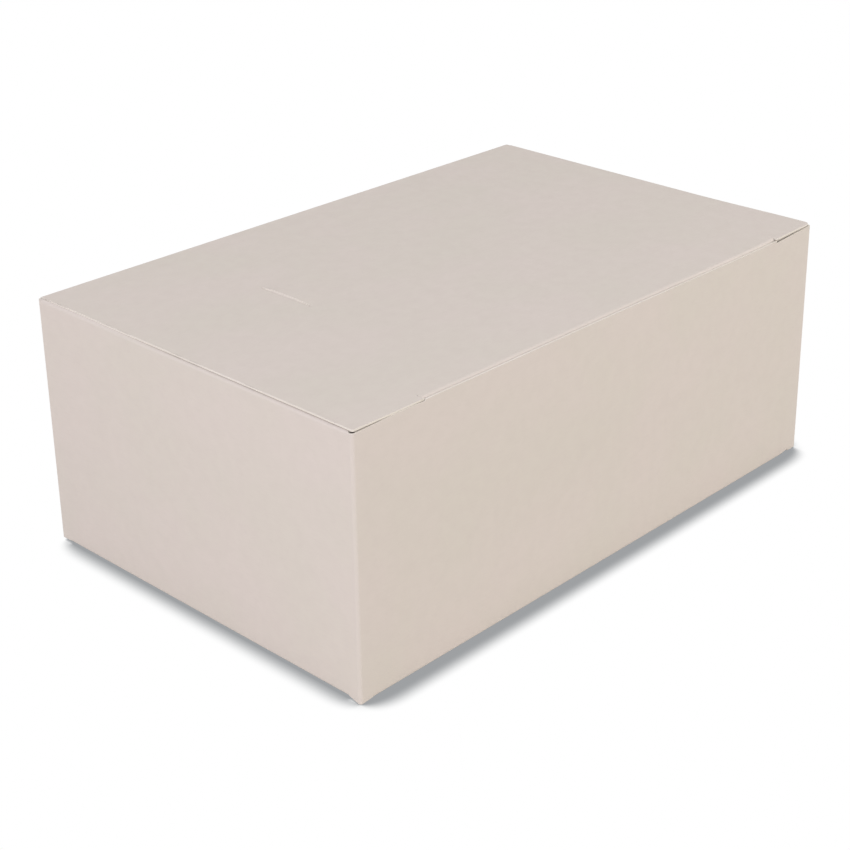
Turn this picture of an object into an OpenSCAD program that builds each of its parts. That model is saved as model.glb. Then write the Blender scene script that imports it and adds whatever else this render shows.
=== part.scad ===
// Carryout box of white paperboard, folded from one die cut sheet, with its tuck top closed.
// Millimetres. The origin is the centre of the face that it rests on: +X runs along the long
// side, +Y towards the lid's fold and +Z up. The sheet is cut in two at the lid's fold.

/* [Box] */
// Length from crease to crease
box_l = 177.8; // [150:0.1:230]
// Width from crease to crease
box_w = 114.3; // [95:0.1:145]
// Depth from the bottom crease to the lid's crease
box_h = 69.85; // [50:0.05:110]
// Thickness of the board
board = 0.5; // [0.4:0.05:0.7]
// Inside radius of a folded crease
fold_in = 0.4; // [0.3:0.05:0.7]

/* [Lid] */
// Setback of the lid's raw end edges from the end walls' faces
lid_setback = 0.4; // [0.2:0.1:1]
// Setback of the raw ears at the slit locks from the front wall's face
ear_setback = 0.1; // [0:0.05:0.3]
// Radius of the corners at the lid's ears
ear_corner_r = 1.2; // [0.5:0.1:3]
// Depth of the tuck flap below its fold
tuck_depth = 25; // [16:0.5:35]
// Radius of the tuck flap's lower corners
tuck_corner_r = 12; // [4:0.5:14]
// Clearance of the tuck flap's ends from the end walls
tuck_end_gap = 1.2; // [0.6:0.1:3]
// Length of the slit lock at the left end of the tuck fold
lock_left = 22.4; // [12:0.2:30]
// Length of the slit lock at the right end of the tuck fold
lock_right = 17; // [12:0.2:30]
// Drop of the tuck flap's shoulders below the lid's underside
shoulder_drop = 0.8; // [0.4:0.1:2]
// Length of the gap below the left ear, from the corner
left_gap_l = 12.4; // [8:0.2:12.4]
// Height that the front wall's top edge falls in that gap, at the corner
left_gap_h = 0.4; // [0.2:0.05:0.6]
// Height that the front wall's top edge falls below the right ear, at the ear's inner end
right_gap_h = 0.5; // [0.2:0.05:0.6]

/* [Slit in the lid] */
// Length of the slit
slit_l = 17.3; // [8:0.1:30]
// Width of the slit and of the slit locks' side cuts
slit_w = 0.3; // [0.2:0.05:0.6]
// Distance of the slit from the left end wall's face
slit_from_end = 42.6; // [30:0.1:70]
// Distance of the slit from the front wall's face
slit_from_front = 60.3; // [30:0.1:75]

/* [Dust flaps] */
// Reach of a dust flap from its end wall's face
dust_reach = 50; // [35:0.5:60]
// Distance of a dust flap's fold from the rear corner
dust_rear_gap = 3; // [2:0.1:6]
// Length of the straight shoulder beside the fold
dust_shoulder = 9; // [5:0.5:14]
// Angle at which a dust flap's side edges taper
dust_taper = 14; // [6:1:20]
// Radius of a dust flap's free corners
dust_corner_r = 9; // [3:0.5:14]

/* [Bottom] */
// Reach of an end flap from its end wall's face
end_flap_reach = 44; // [30:0.5:50]
// Angle at which an end flap's side edges taper
end_flap_taper = 24; // [10:1:28]
// Gap between the two long flaps at the middle of the bottom
middle_gap = 1.6; // [1:0.1:5]
// Angle at which a long flap's free end is cut back
long_flap_taper = 12; // [4:1:16]
// Overlap of a long flap's tongue past the middle
tongue_overlap = 12; // [8:0.5:18]
// Length over which a tongue rises onto the other long flap
tongue_ramp = 4; // [3:0.5:6]
// Gap between the tongues, and between a tongue and an end flap
tongue_gap = 1.2; // [0.8:0.1:4]
// Radius of the bottom flaps' free corners
bottom_corner_r = 6; // [2:0.5:8]
// Distance of each bottom flap's fold from the corner
bottom_end_gap = 3.5; // [3:0.1:5]
// Width of the walls' pointed feet at the corners, where they stand
foot_tip = 1.4; // [1.2:0.1:2.5]
// Width of the diagonal crease lines
crease_w = 0.7; // [0.4:0.1:1.2]
// Depth of the diagonal crease lines
crease_depth = 0.1; // [0.05:0.05:0.2]

/* [Glue flap] */
// Width of the glue flap
glue_w = 15; // [10:0.5:20]
// Length of the tapers at its two ends
glue_taper = 6; // [3:0.5:10]
// Distance of the glue flap from the flaps above and below it
glue_end_gap = 2; // [1:0.1:4]
// Setback of the rear wall's raw edge from the end wall's face
seam_setback = 0.6; // [0.3:0.1:1.2]

/* [Clearances] */
// Gap between layers that only lie on each other
ply_gap = 0.1; // [0.05:0.05:0.3]
// Gap between the tuck flap and what is on either side of it
tuck_gap = 0.3; // [0.2:0.05:0.5]
// Gap between the rear wall's top and the lid's fold
hinge_gap = 0.1; // [0.05:0.05:0.2]

/* [Hidden] */
$fn = 64;

BOARD_COLOUR = [0.84, 0.8, 0.76];
ARC_STEPS = 8;
PAST = 1; // how far a cutting shape runs past what it cuts
LAP = 0.02; // how far neighbouring stretches of the sheet run into each other

outer_l = box_l + board;
outer_w = box_w + board;
outer_h = box_h + board;
fold_out = fold_in + board;
ply = board + ply_gap;

// heights
body_top = outer_h - ply;
hinge_z = outer_h - fold_out;
rear_wall_top = hinge_z - hinge_gap;
dust_under = body_top - board;

// the tuck flap is curved about the lid's hinge, so that it swings out between wall and dust flaps
tuck_outer_r = outer_w - board - tuck_gap;
tuck_inner_r = tuck_outer_r - board;
dust_front_gap = outer_w - tuck_inner_r + tuck_gap;

// the bottom's long flaps, measured from the long wall's face
long_flap_reach = (outer_w - middle_gap) / 2;
tongue_reach = outer_w / 2 + tongue_overlap;
tongue_rise_start = long_flap_reach - tongue_ramp - ply;
tongue_from = end_flap_reach + tongue_gap;
tongue_to = (outer_l - tongue_gap) / 2;

// The points of a corner at b, between a and c, rounded to radius r
function unit(v) = v / norm(v);
function bearing(v) = atan2(v.y, v.x);
function corner(a, b, c, r) =
    let (
        to_a = unit(a - b),
        to_c = unit(c - b),
        half = acos(to_a * to_c) / 2,
        centre = b + unit(to_a + to_c) * r / sin(half),
        start = bearing(b + to_a * r / tan(half) - centre),
        end = bearing(b + to_c * r / tan(half) - centre),
        turn = (end - start + 540) % 360 - 180
    )
    [for (i = [0:ARC_STEPS]) let (at = start + turn * i / ARC_STEPS) centre + r * [cos(at), sin(at)]];

// An outline whose corners [x, y, radius] are rounded; a radius of 0 stays sharp
function flat(p) = [p.x, p.y];
function rounded(points) =
    let (n = len(points))
    [
        for (i = [0:n - 1])
            each points[i].z == 0
                ? [flat(points[i])]
                : corner(flat(points[(i + n - 1) % n]), flat(points[i]), flat(points[(i + 1) % n]), points[i].z)
    ];

// Places a wall's own frame: x along the wall from its first corner, y inward from its outer face
module front_side() {
    translate([-outer_l / 2, -outer_w / 2, 0]) children();
}

module rear_side() {
    rotate(180) front_side() children();
}

module left_side() {
    translate([-outer_l / 2, outer_w / 2, 0]) rotate(-90) children();
}

module right_side() {
    rotate(180) left_side() children();
}

// Draws a section given as inward distance and height, from x = from to x = to along a wall
module along(from, to) {
    translate([from, 0, 0]) rotate([90, 0, 90]) linear_extrude(to - from) children();
}

// A quarter turn of board about the origin, in the quadrant that starts at the given angle
module quarter_fold(angle) {
    rotate(angle) {
        intersection() {
            difference() {
                circle(r = fold_out);
                circle(r = fold_in);
            }
            square(fold_out);
        }
        translate([fold_in, -LAP]) square([board, 2 * LAP]);
        translate([-LAP, fold_in]) square([2 * LAP, board]);
    }
}

// The plan of the four walls as a closed ring, before the glued corner is opened
module wall_ring() {
    difference() {
        rounded_rectangle(outer_l, outer_w, fold_out);
        rounded_rectangle(outer_l - 2 * board, outer_w - 2 * board, fold_in);
    }
}

module rounded_rectangle(l, w, r) {
    square([l - 2 * r, w], center = true);
    square([l, w - 2 * r], center = true);
    for (x = [-1, 1], y = [-1, 1]) translate([x * (l / 2 - r), y * (w / 2 - r)]) circle(r);
}

// At the glued corner the rear wall and the right end wall end in raw edges
module wall_plan() {
    open = fold_out + board;
    difference() {
        wall_ring();
        translate([outer_l / 2 - open, outer_w / 2 - open]) square(open + PAST);
    }
    translate([outer_l / 2 - 2 * open, outer_w / 2 - board]) square([2 * open - seam_setback, board]);
}

// The glue flap folds off the right end wall and lies on the inside of the rear wall
module glue_flap() {
    low = board + ply + glue_end_gap;
    high = dust_under - glue_end_gap;
    far = fold_out + glue_w;
    rear_side() translate([0, 2 * board, 0]) rotate([90, 0, 0]) linear_extrude(board + LAP) polygon([
        [fold_out, low],
        [far, low + glue_taper],
        [far, high - glue_taper],
        [fold_out, high]
    ]);
    translate([outer_l / 2 - fold_out, outer_w / 2 - board - fold_out, low])
        linear_extrude(high - low) quarter_fold(0);
}

// Cuts a shape, drawn as distance along the wall and height, through a wall
module through_wall() {
    translate([0, fold_out, 0]) rotate([90, 0, 0]) linear_extrude(fold_out + PAST) children();
}

// Removes the straight wall where a bottom flap's fold takes its place, between two pointed feet
module bottom_window(wall_l, height) {
    through_wall() polygon([
        [foot_tip, -PAST],
        [foot_tip, 0],
        [bottom_end_gap, height],
        [wall_l - bottom_end_gap, height],
        [wall_l - foot_tip, 0],
        [wall_l - foot_tip, -PAST]
    ]);
}

// Removes the straight wall where the dust flap's fold takes its place
module dust_window() {
    through_wall() translate([dust_rear_gap, body_top - fold_out])
        square([outer_w - dust_front_gap - dust_rear_gap, outer_h]);
}

// Lowers the front wall's top edge below the lid's two ears, where gaps show
module ear_gaps() {
    through_wall() polygon([
        [-PAST, body_top - left_gap_h],
        [0, body_top - left_gap_h],
        [left_gap_l, body_top],
        [left_gap_l, outer_h],
        [-PAST, outer_h]
    ]);
    through_wall() polygon([
        [outer_l - lock_right, body_top - right_gap_h],
        [outer_l, body_top],
        [outer_l, outer_h],
        [outer_l - lock_right, outer_h]
    ]);
}

module walls() {
    difference() {
        linear_extrude(body_top) wall_plan();
        rear_side() translate([-PAST, -PAST, rear_wall_top])
            cube([outer_l + 2 * PAST, dust_rear_gap + PAST, outer_h]);
        front_side() bottom_window(outer_l, fold_out);
        rear_side() bottom_window(outer_l, fold_out);
        left_side() bottom_window(outer_w, ply + fold_out);
        right_side() bottom_window(outer_w, ply + fold_out);
        left_side() dust_window();
        mirror([1, 0, 0]) left_side() dust_window();
        front_side() ear_gaps();
    }
}

// A dust flap on the left end wall: its own x runs from the rear corner to the front
module dust_flap() {
    rear = dust_rear_gap;
    front = outer_w - dust_front_gap;
    inward = (dust_reach - dust_shoulder) * tan(dust_taper);
    along(rear, front) translate([fold_out, body_top - fold_out]) quarter_fold(90);
    translate([0, 0, dust_under]) linear_extrude(board) polygon(rounded([
        [rear, fold_out, 0],
        [rear, dust_shoulder, 0],
        [rear + inward, dust_reach, dust_corner_r],
        [front - inward, dust_reach, dust_corner_r],
        [front, dust_shoulder, 0],
        [front, fold_out, 0]
    ]));
}

// An end flap of the bottom, which lies on the long flaps
module end_flap() {
    from = bottom_end_gap;
    to = outer_w - bottom_end_gap;
    inward = (end_flap_reach - fold_out) * tan(end_flap_taper);
    along(from, to) translate([fold_out, ply + fold_out]) quarter_fold(180);
    translate([0, 0, ply]) linear_extrude(board) polygon(rounded([
        [from, fold_out, 0],
        [from + inward, end_flap_reach, bottom_corner_r],
        [to - inward, end_flap_reach, bottom_corner_r],
        [to, fold_out, 0]
    ]));
}

// A long flap of the bottom: its tongue, on the left half, rises onto the other long flap.
// The crease on its right half bounds the triangle that is glued under the end flap.
module long_flap() {
    from = bottom_end_gap;
    to = outer_l - bottom_end_gap;
    inward = (long_flap_reach - fold_out) * tan(long_flap_taper);
    along(from, to) translate([fold_out, fold_out]) quarter_fold(180);
    difference() {
        linear_extrude(board) polygon(rounded([
            [from, fold_out, 0],
            [from + inward, long_flap_reach, bottom_corner_r],
            [to, long_flap_reach, bottom_corner_r],
            [to, fold_out, 0]
        ]));
        translate([tongue_from, tongue_rise_start, -PAST])
            cube([tongue_to - tongue_from, long_flap_reach, board + 2 * PAST]);
        translate([to, fold_out, 0]) rotate(135) translate([0, -crease_w / 2, -PAST])
            cube([(long_flap_reach - fold_out) * sqrt(2), crease_w, crease_depth + PAST]);
    }
    tongue();
}

module tongue() {
    flat_from = tongue_rise_start + tongue_ramp;
    intersection() {
        along(tongue_from, tongue_to) polygon([
            [tongue_rise_start - LAP, 0],
            [tongue_rise_start, 0],
            [flat_from, ply],
            [tongue_reach, ply],
            [tongue_reach, ply + board],
            [flat_from, ply + board],
            [tongue_rise_start, board],
            [tongue_rise_start - LAP, board]
        ]);
        linear_extrude(outer_h) polygon(rounded([
            [tongue_from, tongue_rise_start - LAP, 0],
            [tongue_from, tongue_reach, bottom_corner_r],
            [tongue_to, tongue_reach, bottom_corner_r],
            [tongue_to, tongue_rise_start - LAP, 0]
        ]));
    }
}

// The walls with the bottom, the dust flaps and the glue flap
module carton_body() {
    color(BOARD_COLOUR) union() {
        walls();
        glue_flap();
        left_side() dust_flap();
        mirror([1, 0, 0]) left_side() dust_flap();
        left_side() end_flap();
        right_side() end_flap();
        front_side() long_flap();
        rear_side() long_flap();
    }
}

// The lid's panel, flat on the dust flaps, with an ear at each slit lock
module lid_panel() {
    left = lid_setback;
    right = outer_l - lid_setback;
    fold_line = board + tuck_gap + fold_out;
    translate([0, 0, outer_h - board]) linear_extrude(board) difference() {
        polygon(rounded([
            [left, ear_setback, ear_corner_r],
            [left, outer_w - fold_out, 0],
            [right, outer_w - fold_out, 0],
            [right, ear_setback, ear_corner_r]
        ]));
        translate([lock_left, -PAST]) square([outer_l - lock_left - lock_right, fold_line + PAST]);
        translate([slit_from_end, slit_from_front]) square([slit_w, slit_l]);
    }
}

module tuck_fold() {
    along(lock_left + slit_w, outer_l - lock_right - slit_w)
        translate([board + tuck_gap + fold_out, hinge_z]) quarter_fold(90);
}

module hinge_fold() {
    along(lid_setback, outer_l - lid_setback) translate([outer_w - fold_out, hinge_z]) quarter_fold(0);
}

// The tuck flap's front view: the shoulders lie below the ears, the middle meets the fold
module tuck_outline() {
    left = board + tuck_end_gap;
    right = outer_l - board - tuck_end_gap;
    shoulder = outer_h - board - shoulder_drop;
    low = hinge_z - tuck_depth;
    polygon(rounded([
        [left, shoulder, 0],
        [left, low, tuck_corner_r],
        [right, low, tuck_corner_r],
        [right, shoulder, 0],
        [outer_l - lock_right - slit_w, shoulder, 0],
        [outer_l - lock_right - slit_w, hinge_z, 0],
        [lock_left + slit_w, hinge_z, 0],
        [lock_left + slit_w, shoulder, 0]
    ]));
}

module tuck_flap() {
    intersection() {
        along(0, outer_l) translate([outer_w, hinge_z]) intersection() {
            difference() {
                circle(r = tuck_outer_r, $fn = 180);
                circle(r = tuck_inner_r, $fn = 180);
            }
            translate([-outer_w, -outer_h]) square([outer_w, outer_h]);
        }
        translate([0, outer_w, 0]) rotate([90, 0, 0]) linear_extrude(outer_w) tuck_outline();
    }
}

module lid() {
    color(BOARD_COLOUR) front_side() {
        lid_panel();
        hinge_fold();
        tuck_fold();
        tuck_flap();
    }
}

carton_body();
lid();
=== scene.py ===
"""A closed carryout box of white paperboard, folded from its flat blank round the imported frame.

Metres. +X runs along the long side, +Y towards the lid's fold, +Z up. A point of the blank is
(s, h): s runs along the walls from the glue flap, by the right, front, left and rear wall, and
h is the height on the walls, which goes on past a fold as distance along the board.
"""
import math

import bpy
import numpy as np
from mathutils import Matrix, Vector
from mathutils.geometry import delaunay_2d_cdt


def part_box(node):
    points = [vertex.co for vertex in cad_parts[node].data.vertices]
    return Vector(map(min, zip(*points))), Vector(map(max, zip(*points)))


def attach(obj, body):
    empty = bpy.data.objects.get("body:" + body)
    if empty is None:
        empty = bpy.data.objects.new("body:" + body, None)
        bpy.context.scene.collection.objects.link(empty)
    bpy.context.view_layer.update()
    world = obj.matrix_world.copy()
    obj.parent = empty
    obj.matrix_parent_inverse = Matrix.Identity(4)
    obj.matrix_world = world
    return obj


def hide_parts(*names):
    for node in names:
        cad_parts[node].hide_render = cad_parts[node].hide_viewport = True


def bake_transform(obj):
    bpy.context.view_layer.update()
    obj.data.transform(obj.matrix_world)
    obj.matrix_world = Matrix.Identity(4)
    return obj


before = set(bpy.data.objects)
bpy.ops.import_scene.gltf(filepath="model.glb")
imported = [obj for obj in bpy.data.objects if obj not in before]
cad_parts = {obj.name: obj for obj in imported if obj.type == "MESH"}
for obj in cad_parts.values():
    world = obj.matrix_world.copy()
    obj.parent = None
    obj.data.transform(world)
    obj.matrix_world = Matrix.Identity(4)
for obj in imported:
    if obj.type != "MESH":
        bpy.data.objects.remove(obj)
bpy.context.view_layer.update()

MM = 0.001

# The box as the frame has it
body_low, body_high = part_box("carton_body")
lid_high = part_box("lid")[1]
LENGTH = body_high.x - body_low.x
WIDTH = body_high.y - body_low.y
HEIGHT = lid_high.z

# The board and its folds
BOARD = 0.5 * MM
FOLD_IN = 0.4 * MM
FOLD_OUT = FOLD_IN + BOARD
FOLD_MID = FOLD_IN + BOARD / 2
ARC = FOLD_MID * math.pi / 2
PLY = BOARD + 0.1 * MM
SOFT_EDGE = 0.06 * MM
BEAD = 0.12 * MM
BEAD_WIDTH = 0.4 * MM
CUT = 0.2 * MM

# The top lies low enough for one ear and the slit to stand proud. The front right corner rises
# by as much again, over these lengths from the corner and from this height on the walls
TOP_DROP = 0.45 * MM
RISE_X = 34 * MM
RISE_Y = 40 * MM
RISE_FROM = 30 * MM

# The left wall's fold stands up beside the lid, and sinks over CREST_FADE towards the front
CREST = 0.3 * MM
CREST_START = 20 * MM
CREST_FADE = 30 * MM
CREST_WIDTH = 0.8 * MM

# The bottom rests on its corners' feet, and the board of the top sags between its folds
BOTTOM_LIFT = 0.05 * MM
LID_SAG = 0.16 * MM
LID_RIPPLE = 0.05 * MM
EDGE_LIFT = 0.1 * MM
EDGE_LIFT_X = 12 * MM
EDGE_LIFT_Y = 70 * MM
DUST_SAG = 0.25 * MM
DUST_RIPPLE = 0.12 * MM
DUST_SAG_OVER = 30 * MM

# How far each wall is drawn in, and up to what share of its height
WALL_BOWS = {
    "right": (0.3 * MM, 0.95),
    "front": (0.2 * MM, 0.6),
    "left": (0.25 * MM, 0.9),
    "rear": (0.3 * MM, 0.9),
}
BOW_FROM = 4 * MM
BOW_RIPPLE = 0.06 * MM
BOW_SHORT_OF_SEAM = 20 * MM

# Heights of the folds on the walls
BODY_TOP = body_high.z - TOP_DROP
HINGE_Z = HEIGHT - FOLD_OUT - TOP_DROP
DUST_FOLD_Z = BODY_TOP - FOLD_OUT
LONG_FOLD_Z = BOTTOM_LIFT + FOLD_OUT
END_FOLD_Z = LONG_FOLD_Z + PLY

# The lid
LID_SETBACK = 0.35 * MM
EAR_SETBACK = 0.1 * MM
EAR_RADIUS_LEFT = 0.5 * MM
EAR_RADIUS_RIGHT = 1.8 * MM
LOCK_LEFT = 22.4 * MM
LOCK_RIGHT = 17 * MM
LOCK_HOOK = 1.1 * MM
TUCK_DEPTH = 25 * MM
TUCK_RADIUS = 12 * MM
TUCK_END_GAP = 1.2 * MM
TUCK_BEHIND = BOARD + 0.24 * MM
TUCK_PRESSED = 0.2 * MM
PRESSED_FROM = 20 * MM
PRESSED_OVER = 24 * MM
PRESSED_DEPTH = 20 * MM
PRESSED_FADE = 4 * MM
LID_EDGE_STEP = 0.4 * MM
SLIT_FROM_END = 42.6 * MM
SLIT_FROM_FRONT = 58.8 * MM
SLIT_LENGTH = 19.3 * MM
SLIT_WIDTH = 0.1 * MM
SLIT_RISE = 0.44 * MM
SLIT_RISE_REACH = 9 * MM
SLIT_RISE_ENDS = (0.3, 0.25)
SLIT_RISE_AT_FRONT = 0.75

# Gaps between the front wall's raw top edge and the lid's ears
LEFT_GAP_LENGTH = 12.4 * MM
LEFT_SHUT_TO = 18 * MM
LEFT_SHUT = 0.08 * MM
LEFT_GAP = 0.3 * MM
RIGHT_GAP = 0.85 * MM
RIGHT_GAP_AT_CORNER = 0.12 * MM
RIGHT_GAP_RADIUS = 0.4 * MM

# Between the ears the wall's raw edge stands nearly as high as the lid, and less so to the right
RAISED = 0.3 * MM
RAISED_TO = 95 * MM
RAISED_END = 150 * MM

# The dust flaps
DUST_REACH = 50 * MM
DUST_REAR_GAP = 1.45 * MM
DUST_FRONT_GAP = 1.6 * MM
DUST_TOE_GAP = BOARD + 0.15 * MM
TOE_FROM_FOLD = 0.8 * MM
TOE_SLOPE = 0.4 * MM
DUST_SHOULDER = 9 * MM
DUST_TAPER = math.radians(14)
DUST_RADIUS = 9 * MM

# The bottom's flaps, and the corners' feet that the walls stand on
END_REACH = 44 * MM
END_TAPER = math.radians(24)
MIDDLE_GAP = 1.6 * MM
LONG_REACH = (WIDTH - MIDDLE_GAP) / 2
LONG_TAPER = math.radians(12)
TONGUE_REACH = WIDTH / 2 + 12 * MM
TONGUE_RAMP = 4 * MM
TONGUE_START = LONG_REACH - TONGUE_RAMP - PLY
TONGUE_GAP = 1.2 * MM
TONGUE_FROM = END_REACH + TONGUE_GAP
TONGUE_TO = (LENGTH - TONGUE_GAP) / 2
FLAP_RADIUS = 6 * MM
FLAP_GAP = 4 * MM
FOOT_CUT = 0.02 * MM
FOOT_DEPTH = 0.54 * MM
FOOT_TIP = 0.12 * MM
REAR_FOOT = 0.75 * MM
RIGHT_FOOT = 0.3 * MM
CREASE_WIDTH = 0.35 * MM
CREASE_DEPTH = 0.1 * MM
CREASE_ROWS = np.array([-2, -1, 0, 1, 2]) * CREASE_WIDTH * 0.7
CREASE_MARGINS = (1.5 * MM, 4 * MM)

# The glue flap and the seam
GLUE_WIDTH = 15 * MM
GLUE_TAPER = 6 * MM
GLUE_END_GAP = 2 * MM
GLUE_LOW = BOTTOM_LIFT + BOARD + PLY + GLUE_END_GAP
GLUE_HIGH = BODY_TOP - BOARD - GLUE_END_GAP
SEAM_SETBACK = 0.6 * MM

# The strip of board that bends where the lid hinges
STRIP_LEFT = -LENGTH / 2 + FOLD_OUT - 0.15 * MM
STRIP_RIGHT = LENGTH / 2 - SEAM_SETBACK - 0.05 * MM
STRIP_LOW = -0.5 * MM
STRIP_HIGH = ARC + 1.2 * MM

# How finely the blank is meshed, with finer rows where it bends
GRID = 3 * MM
FINE = 0.8 * MM
ARC_STEPS = 8
ROUND_STEPS = 8
BEND_ROWS = (0.4 * MM, 0.8 * MM)
STRIP_STEP = 0.2 * MM
SLIT_MARGIN = 2 * MM
SLIT_PATCH = 10 * MM
SIDE_MARGIN = 2 * MM
CLEAR = 0.25 * MM
NUDGE = 0.002 * MM
PROBE = 0.01 * MM

# The paperboard's tones, as values from 0 to 255 on a display: plain, warmer cloud, and the paler
# fold, which is partly worn, cracked coating and partly a painted highlight
COATED_TONES = ((217, 207, 201), (215, 207, 199), (221, 212, 206))
BACK_TONES = ((212, 203, 194), (210, 199, 186), (218, 210, 202))
# Raw edges: the pale uncoated core, made paler still as a painted highlight where light catches
# thin lifted edges such as the slit's lip
RAW_AND_HIGHLIT_TONES = ((232, 225, 218), (228, 221, 212), (234, 228, 222))
DARK_SHARE = 0.93

# The paperboard's grain: the scales of its noises, and how they are stretched along the sheet
CLOUD_SCALE = 38.0
MOTTLE_SCALE = 260.0
FIBRE_SCALE = 1500.0
SPECK_SCALE = 4200.0
CRACK_SCALE = 3000.0
FIBRE_STRETCH = (0.28, 1, 1)

# The stage: camera, lamps, and the floor that only shows where a painted shadow round the box
# darkens it
CAMERA_AT = (-0.32686, -0.31312, 0.24030)
CAMERA_AZIMUTH = math.radians(47.799)
CAMERA_ELEVATION = math.radians(23.098)
LENS = 76.62
CAMERA_SHIFT = (-0.0775, -0.1041)
WORLD_STRENGTH = 0.52
WORLD_COLOUR = (1.0, 0.985, 0.955)
LAMP_DISTANCE = 1.1
LAMP_SIZE = 0.8
LAMP_ELEVATION = 34
FLOOR_HALF = 3.0
FLOOR_PAINT = (0.8, 0.77, 0.71, 1)
SHADE_REACH = 11.64 * MM
SHADE_TILT = (0.0, 0.31, 1.0)
SHADE_OPEN = (0.47, 0.8)
SHADE_TONE = (0.343, 0.353, 0.364, 1.0)
SHADE_SAMPLES = 64

WALL, BOTTOM, DUST = range(3)
PANEL, TUCK = range(2)


def smooth(t):
    """From 0 to 1 as t goes from 0 to 1, level at both ends."""
    t = np.clip(t, 0, 1)
    return t * t * (3 - 2 * t)


def hump(t):
    """From 0 up to 1 and back to 0 as t goes from 0 to 1, level at both ends."""
    return np.sin(np.pi * np.clip(t, 0, 1)) ** 2


def ripple(s, h):
    """The faint unevenness of a panel of board, from -1 to 1."""
    a = np.sin(s / (11 * MM) + 1.7 * np.sin(h / (23 * MM)))
    b = np.sin(h / (9 * MM) + 1.3 * np.sin(s / (31 * MM)) + 2.0)
    return 0.6 * a * b + 0.4 * np.sin((s + 0.6 * h) / (19 * MM) + 0.8)


def unit(v):
    return v / np.linalg.norm(v)


def rounded(*points):
    """A closed outline whose corners (x, y, radius) are rounded; a corner (x, y) stays sharp."""
    loop = []
    for i, point in enumerate(points):
        here = np.array(point[:2])
        if len(point) == 2:
            loop.append(tuple(here))
            continue
        before = unit(np.array(points[i - 1][:2]) - here)
        after = unit(np.array(points[(i + 1) % len(points)][:2]) - here)
        half = math.acos(before @ after) / 2
        centre = here + unit(before + after) * point[2] / math.sin(half)
        start = here + before * point[2] / math.tan(half) - centre
        side = math.copysign(1, before[0] * after[1] - before[1] * after[0])
        for k in range(ROUND_STEPS + 1):
            turn = -side * (math.pi - 2 * half) * k / ROUND_STEPS
            c, n = math.cos(turn), math.sin(turn)
            turned = np.array([c * start[0] - n * start[1], n * start[0] + c * start[1]])
            loop.append(tuple(centre + turned))
    return loop


def divided(a, b, step):
    """The points from a up to but without b, at most one step apart."""
    count = max(1, math.ceil(math.dist(a, b) / step - 1e-6))
    run, rise = b[0] - a[0], b[1] - a[1]
    return [(a[0] + run * i / count, a[1] + rise * i / count) for i in range(count)]


def dense(loop, step):
    return [p for a, b in zip(loop, loop[1:] + loop[:1]) for p in divided(a, b, step)]


def inside(points, loops):
    """Whether each point lies in any of the closed outlines."""
    found = np.zeros(len(points), bool)
    x, y = points[:, :1], points[:, 1:]
    for loop in loops:
        a = np.array(loop)
        b = np.roll(a, -1, 0)
        spans = (a[:, 1] > y) != (b[:, 1] > y)
        with np.errstate(divide="ignore", invalid="ignore"):
            across = a[:, 0] + (y - a[:, 1]) / (b[:, 1] - a[:, 1]) * (b[:, 0] - a[:, 0])
        found |= (spans & (x < across)).sum(1) % 2 == 1
    return found


def near(points, loops, distance):
    """Whether each point lies closer to one of the outlines than the distance."""
    found = np.zeros(len(points), bool)
    for loop in loops:
        a = np.array(loop)
        d = np.roll(a, -1, 0) - a
        for k in range(len(a)):
            t = np.clip((points - a[k]) @ d[k] / (d[k] @ d[k]), 0, 1)
            found |= np.linalg.norm(points - a[k] - t[:, None] * d[k], axis=1) < distance
    return found


def lattice(xs, ys):
    return np.stack(np.meshgrid(xs, ys), -1).reshape(-1, 2)


def steps(low, high, step):
    return np.linspace(low, high, max(2, round((high - low) / step) + 1))


def triangulate(regions, holes, creases, points):
    """Fills the flat regions with triangles that keep to the outlines and creases."""
    regions = [dense(loop, GRID) for loop in regions]
    holes = [dense(loop, FINE) for loop in holes]
    lines = [divided(a, b, GRID) + [b] for a, b in creases]
    points = points[inside(points, regions) & ~near(points, regions + holes, CLEAR)]
    corners, edges = [], []
    for loop in regions + holes:
        first = len(corners)
        corners += loop
        edges += [(first + i, first + (i + 1) % len(loop)) for i in range(len(loop))]
    for line in lines:
        first = len(corners)
        corners += line
        edges += [(first + i, first + i + 1) for i in range(len(line) - 1)]
    corners += [tuple(p) for p in points]
    scaled = [Vector((p[0] / MM, p[1] / MM)) for p in corners]
    found, _, faces, *_ = delaunay_2d_cdt(scaled, edges, [], 0, 1e-4, False)
    flat = np.array([tuple(v) for v in found]) * MM
    faces = np.array([tuple(f) for f in faces])
    middle = flat[faces].mean(1)
    kept = faces[inside(middle, regions) & ~inside(middle, holes)]
    used = np.unique(kept)
    renumber = np.zeros(len(flat), int)
    renumber[used] = np.arange(len(used))
    return flat[used], renumber[kept]


def rim_of(triangles):
    """The border's edges, each in the direction that its triangle has it."""
    edges = np.concatenate([triangles[:, [0, 1]], triangles[:, [1, 2]], triangles[:, [2, 0]]])
    known = {tuple(e) for e in edges.tolist()}
    return np.array([e for e in edges.tolist() if (e[1], e[0]) not in known])


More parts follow.
